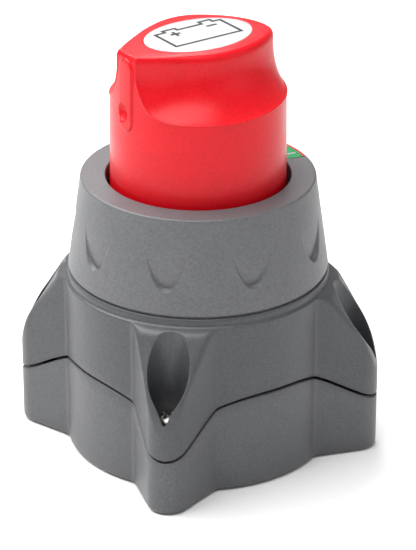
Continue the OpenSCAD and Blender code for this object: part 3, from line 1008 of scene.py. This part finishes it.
def knob_piece(s):
    foot_r, top_r = mm(s, "foot_r"), mm(s, "top_r")
    foot_z, top_z = mm(s, "foot_z"), mm(s, "top_z")
    scoop, rise, roll = mm(s, "scoop_z"), mm(s, "scoop_rise"), mm(s, "roll_r")
    az = np.concatenate([np.arange(-14.0, 14.01, 0.36), np.arange(14.5, 50.0, 0.5),
                         np.arange(50.0, 320.0, 0.8), np.arange(320.0, 345.8, 0.4)])
    a = np.radians(az)
    ux, uy = np.sin(a), -np.cos(a)
    turn = (az - POINTER_AT + 180.0) % 360.0 - 180.0
    away = np.abs(turn)
    wall, foot, ease = grip_wall(turn), grip_foot(away), grip_roll(away)
    lip_z = scoop - 0.1 + smooth_step((away - 75.0) / 60.0)
    rib_a = a - s.rib_turn

    def cone(z):
        return foot_r + (z - foot_z) * (top_r - foot_r) / (top_z - foot_z)

    def section(z):
        """Round body below the lip and the hollowed grip above it."""
        u = np.clip((z - lip_z) / rise, 0.0, 1.0)
        hollow = wall + (foot - wall) * (1.0 - u) ** 2.5
        hollow = hollow + 6.0 * np.maximum(0.0, lip_z - z)
        line = soft_min(np.full(len(az), cone(z)), hollow, 0.16)
        return line + LIP_BEAD * np.exp(-(((hollow - cone(z)) / 0.42) ** 2)) * (z > lip_z - 1.0)

    def dressed(r, z):
        """Adds the pointer rib and the dimple under it."""
        front = uy < 0
        across = r * np.sin(rib_a)
        half = mm(s, "rib_w") / 2
        up = max(0.0, z - (RIB_HIGH - half + 3.0), RIB_LOW - z)
        reach = half - np.hypot(across, up)
        r = r + mm(s, "rib_out") * smooth_step(reach / 0.55 + 0.15) * front
        cx, cy, cz = DIMPLE_AT
        b = ux * cx + uy * cy
        disc = b * b - (cx**2 + cy**2 + (z - cz) ** 2 - DIMPLE_R**2)
        hit = np.where((disc > 0) & front, b - np.sqrt(np.maximum(disc, 0.0)), 1e3)
        r = np.where(hit < 900, soft_min(r, hit, 0.3), r)
        bead = np.hypot(r * ux - BEAD_X, z - BEAD_Z)
        return r + BEAD_OUT * smooth_step((BEAD_R - bead) / 0.9) * front

    rows = [turned(az, 28.0, foot_z), turned(az, foot_r - 0.5, foot_z),
            turned(az, foot_r, foot_z + 0.6)]
    for z in (84.0, 94.0, 100.0, 106.0, 112.0, 117.0, 121.0):
        rows.append(turned(az, cone(z), z))
    heights = np.concatenate([
        np.arange(121.6, 130.9, 0.36), np.arange(131.0, 134.0, 0.16),
        np.arange(134.1, top_z - roll, 0.36)])
    for z in heights:
        rows.append(turned(az, dressed(section(z), z), z))
    for t in np.linspace(0, 1, 15)[1:]:
        b = t * math.pi / 2
        z = top_z - roll + roll * math.sin(b) - 0.28 * t
        rows.append(turned(az, dressed(section(z) - ease * (1 - math.cos(b)), z), z))
    rim_line = np.hypot(rows[-1][:, 0], rows[-1][:, 1])
    seat_a, seat_b = mm(s, "label_a") + 0.15, mm(s, "label_b") + 0.15
    oval = 1 / np.sqrt((ux / seat_b) ** 2 + (uy / seat_a) ** 2)
    for t in np.linspace(0, 1, 11)[1:]:
        z = top_z - 0.28 * (1 - t) ** 2
        rows.append(turned(az, rim_line * (1 - t) + oval * t, z))
    rows.append(turned(az, oval, top_z - 0.5))
    shape = Shape()
    made = shape.rows(rows)
    shape.cap(made[-1], (0.0, 0.0, top_z - 0.5))
    inner = shape.rows([turned(az, 28.0, 126.0), turned(az, 28.0, 100.0)])
    shape.strip(inner[-1], made[0])
    shape.cap(inner[0], (0.0, 0.0, 126.0), up=False)
    return shape.build("knob_shell", finish("knob_red"))


def oval_plate(s):
    top, base = 153.03, mm(s, "top_z") - 0.48
    n = 160
    t = np.linspace(0, 2 * np.pi, n + 1)[:-1]
    a, b = mm(s, "label_a"), mm(s, "label_b")

    def ring(inset, z):
        return np.column_stack([(b - inset) * np.cos(t), (a - inset) * np.sin(t), np.full(n, z)])

    rows = [ring(0.0, base), ring(0.0, top - 0.12), ring(0.04, top - 0.04), ring(0.12, top)]
    rows += [ring(inset, top) for inset in (2, 5, 8, 11)]
    shape = Shape()
    made = shape.rows(rows)
    shape.cap(made[-1], (0, 0, top))
    shape.cap(made[0], (0, 0, base), up=False)
    return shape.build("knob_label_plate", finish("label_white"))


def stroke(shape, path, width, z0, z1, closed=True):
    """A printed line of that width along a path in plan, with mitred corners."""
    path = np.asarray(path, dtype=float)
    n = len(path)
    left, right = [], []
    for i in range(n):
        before = path[i - 1] if (closed or i) else None
        after = path[(i + 1) % n] if (closed or i < n - 1) else None
        d0 = (path[i] - before) / np.linalg.norm(path[i] - before) if before is not None else None
        d1 = (after - path[i]) / np.linalg.norm(after - path[i]) if after is not None else None
        d0 = d1 if d0 is None else d0
        d1 = d0 if d1 is None else d1
        normal = np.array([-d0[1] - d1[1], d0[0] + d1[0]])
        normal /= np.linalg.norm(normal)
        reach = width / 2 / max(0.3, normal @ np.array([-d0[1], d0[0]]))
        left.append(path[i] + normal * reach)
        right.append(path[i] - normal * reach)
    left, right = np.array(left), np.array(right)
    rows = [level(right, z0), level(right, z1), level(left, z1), level(left, z0)]
    made = shape.rows(rows, closed=closed, ring=True)
    if not closed:
        shape.faces.append([int(r[0]) for r in made])
        shape.faces.append([int(r[-1]) for r in made][::-1])


def slab(shape, points, z0, z1):
    """A flat polygon with a little thickness."""
    points = np.asarray(points, dtype=float)
    low, high = shape.rows([level(points, z0), level(points, z1)])
    shape.faces.append(low[::-1].tolist())
    shape.faces.append(high.tolist())


def battery_symbol(s):
    """Outline of a battery with its two posts, and its plus and minus."""
    z0, z1 = 153.0, 153.08
    w = mm(s, "stroke")
    case = [(5.35, -12.65), (5.35, 14.35), (-7.65, 14.35), (-7.65, 11.35), (-9.7, 11.35),
            (-9.7, 6.7), (-7.65, 6.7), (-7.65, -3.5), (-9.3, -3.5), (-9.3, -8.6),
            (-7.65, -8.6), (-7.65, -12.65)]
    shape = Shape()
    stroke(shape, case, w, z0, z1)
    h, arm = w / 2, 2.0
    cross = [(h, -arm), (h, -h), (arm, -h), (arm, h), (h, h), (h, arm), (-h, arm), (-h, h),
             (-arm, h), (-arm, -h), (-h, -h), (-h, -arm)]
    slab(shape, np.array(cross) + (-4.7, -6.2), z0, z1)
    slab(shape, np.array([(h, -2.1), (h, 2.1), (-h, 2.1), (-h, -2.1)]) + (-4.8, 8.9), z0, z1)
    return shape.build("knob_label_print", finish("print_dark"), smooth=False)


FILM, EDGE_W, EDGE_GAP = 0.14, 0.8, 0.05


def ring_mark(s, name, key, a0, a1, symbol_at, round_symbol):
    """A ring label's coloured sector, its edge line and its white symbol."""
    top = mm(s, "top_z")
    r0, r1 = mm(s, "label_in"), mm(s, "label_out")
    plate = Shape()
    field_r = r1 - EDGE_W - EDGE_GAP
    sector(plate, a0, a1, r0, field_r, top, top + FILM)
    pieces = [plate.build(name + "_field", finish(key))]
    band = Shape()
    sector(band, a0, a1, r1 - EDGE_W, r1, top, top + FILM)
    pieces.append(band.build(name + "_edge", finish("label_red")))
    mark = Shape()
    z0, z1 = top + 0.13, top + 0.19
    mid = (r0 + field_r) / 2
    if round_symbol:
        az = np.linspace(0, 360, 49)[:-1]
        a = math.radians(symbol_at)
        centre = np.array([mid * math.sin(a), -mid * math.cos(a), 0.0])
        rows = [turned(az, r, z) + centre for r, z in ((2.0, z0), (2.0, z1), (1.3, z1), (1.3, z0))]
        mark.rows(rows, ring=True)
    else:
        half = math.degrees(0.42 / mid)
        sector(mark, symbol_at - half, symbol_at + half, mid - 1.9, mid + 1.9, z0, z1, 0.02)
    pieces.append(mark.build(name + "_symbol", finish("label_white")))
    return pieces


# ---------------------------------------------------------------- operators


class SWITCH_OT_base(bpy.types.Operator):
    """Builds the lobed base with its wiring space"""

    bl_idname = "switch.base"
    bl_label = "Base"

    def execute(self, context):
        settle(base_piece(context.scene.switch_housing), "housing", "base_grey", "base")
        return {"FINISHED"}


class SWITCH_OT_cover(bpy.types.Operator):
    """Builds the cover with its four screw pockets"""

    bl_idname = "switch.cover"
    bl_label = "Cover"

    def execute(self, context):
        settle(cover_piece(context.scene.switch_housing), "housing", "cover_grey", "cover")
        return {"FINISHED"}


class SWITCH_OT_screws(bpy.types.Operator):
    """Builds the four cover screws"""

    bl_idname = "switch.screws"
    bl_label = "Cover screws"

    def execute(self, context):
        s = context.scene.switch_housing
        shape = Shape()
        for k, turn in zip(range(LOBES), (20, 50, 8, 71)):
            a = math.radians(45 + 90 * k)
            at = mm(s, "screw_at") * np.array([math.cos(a), math.sin(a)])
            screw_head_grid(shape, at, mm(s, "pocket_floor"), turn)
        piece = shape.build("cover_screw_set", finish("zinc_steel"))
        settle(piece, "housing", "zinc_steel", "cover_screws")
        return {"FINISHED"}


STUD_AT = 24.0
STUD_R, NUT_ACROSS, SPRING_R, WASHER_R = 5.0, 15.9, 8.2, 9.5
STUD_LOW, NUT_LOW, SPRING_LOW, WASHER_LOW, WASHER_TOP, STUD_TOP = 2.0, 8.2, 16.2, 18.2, 20.0, 29.8


class SWITCH_OT_terminals(bpy.types.Operator):
    """Builds the threaded studs with their nuts and washers"""

    bl_idname = "switch.terminals"
    bl_label = "Terminals"

    def execute(self, context):
        studs, nuts, plain, sprung = Shape(), Shape(), Shape(), Shape()
        for side in (-1, 1):
            at = (STUD_AT * side, 0.0)
            threaded(studs, at, STUD_R, STUD_LOW, STUD_TOP)
            hexagon_nut(nuts, at, NUT_ACROSS, NUT_LOW, SPRING_LOW, STUD_R + 0.05)
            washer(sprung, at, STUD_R + 0.25, SPRING_R, SPRING_LOW, WASHER_LOW, split=True)
            washer(plain, at, STUD_R + 0.3, WASHER_R, WASHER_LOW, WASHER_TOP)
        for shape, name, metal, node in (
            (studs, "stud_pair", "stud_brass", "terminal_studs"),
            (nuts, "stud_nut_pair", "stud_brass", "stud_nuts"),
            (sprung, "lock_washer_pair", "spring_steel", "lock_washers"),
            (plain, "plain_washer_pair", "zinc_steel", "stud_washers"),
        ):
            settle(shape.build(name, finish(metal)), "housing", metal, node)
        return {"FINISHED"}


class SWITCH_OT_collar(bpy.types.Operator):
    """Builds the fluted collar"""

    bl_idname = "switch.collar"
    bl_label = "Collar"

    def execute(self, context):
        settle(collar_piece(context.scene.switch_collar), "housing", "collar_grey", "collar")
        return {"FINISHED"}


class SWITCH_OT_ring_marks(bpy.types.Operator):
    """Builds the on and off labels on the collar's ring"""

    bl_idname = "switch.ring_marks"
    bl_label = "Ring labels"

    def execute(self, context):
        s = context.scene.switch_collar
        on = ring_mark(s, "on_label", "label_green", 166.0, 206.0, 172.0, False)
        off = ring_mark(s, "off_label", "label_red", 244.0, 284.0, 264.0, True)
        for pieces, slot, cad in ((on, "label_green", "on_label"), (off, "label_red", "off_label")):
            field, edge, symbol = pieces
            settle(field, "housing", slot, cad)
            settle(edge, "housing", "label_red")
            settle(symbol, "housing", "label_white")
        return {"FINISHED"}


class SWITCH_OT_knob(bpy.types.Operator):
    """Builds the knob with its grip, pointer rib and dimple"""

    bl_idname = "switch.knob"
    bl_label = "Knob"

    def execute(self, context):
        settle(knob_piece(context.scene.switch_knob), "handle", "knob_red", "knob")
        return {"FINISHED"}


class SWITCH_OT_knob_label(bpy.types.Operator):
    """Builds the oval label and its battery symbol"""

    bl_idname = "switch.knob_label"
    bl_label = "Knob label"

    def execute(self, context):
        s = context.scene.switch_knob
        settle(oval_plate(s), "handle", "label_white", "knob_label")
        settle(battery_symbol(s), "handle", "label_white")
        return {"FINISHED"}


INSIDE = {
    "cover_seal": "seal_rubber",
    "shaft_seal": "seal_rubber",
    "collar_screws": "zinc_steel",
    "knob_screw": "zinc_steel",
    "spindle": "spindle_steel",
    "circlip": "spring_steel",
    "bush": "bush_plastic",
    "rotor": "rotor_black",
    "contact_bridge": "copper",
    "contact_left": "copper",
    "contact_right": "copper",
    "contact_springs": "spring_steel",
    "detent_springs": "spring_steel",
    "detent_balls": "ball_steel",
    "detent_ring": "ring_plastic",
}


class SWITCH_OT_mechanism(bpy.types.Operator):
    """Gives the pieces of the mechanism their finishes"""

    bl_idname = "switch.mechanism"
    bl_label = "Mechanism"

    def execute(self, context):
        for name, key in INSIDE.items():
            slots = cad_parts[name].data.materials
            if len(slots):
                for i in range(len(slots)):
                    slots[i] = finish(key)
            else:
                slots.append(finish(key))
        return {"FINISHED"}


LIGHTS_AIM = Vector((0.0, 0.0, 0.08))


def area_light(name, place, size, watts):
    """A soft white rectangle of light, turned to the object."""
    data = bpy.data.lights.new(name, "AREA")
    data.shape = "RECTANGLE"
    data.size, data.size_y = size
    data.energy = watts
    lamp = bpy.data.objects.new(name, data)
    lamp.location = place
    lamp.rotation_euler = (LIGHTS_AIM - Vector(place)).to_track_quat("-Z", "Y").to_euler()
    bpy.context.scene.collection.objects.link(lamp)
    return lamp


def toward(azimuth, elevation, distance):
    """A place in metres at that azimuth and elevation in degrees round the object."""
    a, e = math.radians(azimuth), math.radians(elevation)
    return (distance * math.sin(a) * math.cos(e), -distance * math.cos(a) * math.cos(e),
            distance * math.sin(e))


class SWITCH_OT_stage(bpy.types.Operator):
    """Sets the floor, the soft lights and the camera"""

    bl_idname = "switch.stage"
    bl_label = "Stage"

    def execute(self, context):
        scene = context.scene
        s = scene.switch_stage
        scene.view_settings.view_transform = "Standard"
        scene.view_settings.look = "None"

        mat, tree, shader, place = finish_material("pale_floor")
        tint(tree, shader, noise(tree, place, 3.0), tuple(s.floor_colour), 0.995, 1.005)
        shader.inputs["Roughness"].default_value = 0.9
        half = s.floor_half / MM
        floor = Shape()
        across = np.linspace(-half, half, 9)
        floor.rows([np.column_stack([across, np.full(9, y), np.full(9, -0.02)])
                    for y in np.linspace(-half, half, 9)], closed=False)
        floor.build("pale_floor", mat, smooth=False)

        world = bpy.data.worlds.new("white_room")
        world.use_nodes = True
        back = world.node_tree.nodes["Background"]
        back.inputs["Color"].default_value = (1.0, 1.0, 1.0, 1.0)
        back.inputs["Strength"].default_value = s.sky
        scene.world = world

        view = math.degrees(s.camera_azimuth)
        area_light("key_light", toward(view - 75, 52, 1.1), (0.9, 0.7), s.key)
        area_light("fill_light", toward(view + 70, 25, 1.4), (0.8, 0.8), s.fill)
        area_light("rim_light", toward(view - 150, 55, 1.3), (1.2, 0.6), s.rim)
        area_light("top_light", toward(view - 55, 74, 1.8), (1.8, 1.3), s.top)

        data = bpy.data.cameras.new("camera")
        data.sensor_fit = "VERTICAL"
        data.sensor_height = 24.0
        data.lens = s.lens
        data.shift_x, data.shift_y = s.shift_x, s.shift_y
        data.clip_start, data.clip_end = 0.01, 50.0
        eye = bpy.data.objects.new("camera", data)
        target = Vector((0.0, 0.0, s.look_z))
        spot = toward(view, math.degrees(s.camera_elevation), s.camera_distance)
        eye.location = Vector(spot) + target
        eye.rotation_euler = (target - eye.location).to_track_quat("-Z", "Y").to_euler()
        scene.collection.objects.link(eye)
        scene.camera = eye
        return {"FINISHED"}


PIECE_OPERATORS = (
    SWITCH_OT_stage,
    SWITCH_OT_base,
    SWITCH_OT_cover,
    SWITCH_OT_screws,
    SWITCH_OT_terminals,
    SWITCH_OT_collar,
    SWITCH_OT_ring_marks,
    SWITCH_OT_knob,
    SWITCH_OT_knob_label,
    SWITCH_OT_mechanism,
)


class SWITCH_PT_pieces(bpy.types.Panel):
    """Lists the pieces of the switch"""

    bl_label = "Battery switch"
    bl_idname = "SWITCH_PT_pieces"
    bl_space_type = "VIEW_3D"
    bl_region_type = "UI"
    bl_category = "Switch"

    def draw(self, context):
        for op in PIECE_OPERATORS:
            self.layout.operator(op.bl_idname)
        for group in ("housing", "collar", "knob", "colours", "stage"):
            box = self.layout.box()
            box.label(text=group.capitalize())
            settings = getattr(context.scene, "switch_" + group)
            for name in type(settings).__annotations__:
                box.prop(settings, name)


GROUPS = {
    "switch_housing": HousingSizes,
    "switch_collar": CollarSizes,
    "switch_knob": KnobSizes,
    "switch_colours": FinishColours,
    "switch_stage": StageSettings,
}


def register():
    for cls in (*GROUPS.values(), *PIECE_OPERATORS, SWITCH_PT_pieces):
        bpy.utils.register_class(cls)
    for name, cls in GROUPS.items():
        setattr(bpy.types.Scene, name, PointerProperty(type=cls))


def unregister():
    for name in GROUPS:
        delattr(bpy.types.Scene, name)
    for cls in (SWITCH_PT_pieces, *reversed(PIECE_OPERATORS), *reversed(GROUPS.values())):
        bpy.utils.unregister_class(cls)


def main():
    register()
    for op in PIECE_OPERATORS:
        group, name = op.bl_idname.split(".")
        getattr(getattr(bpy.ops, group), name)()


if __name__ == "__main__":
    main()
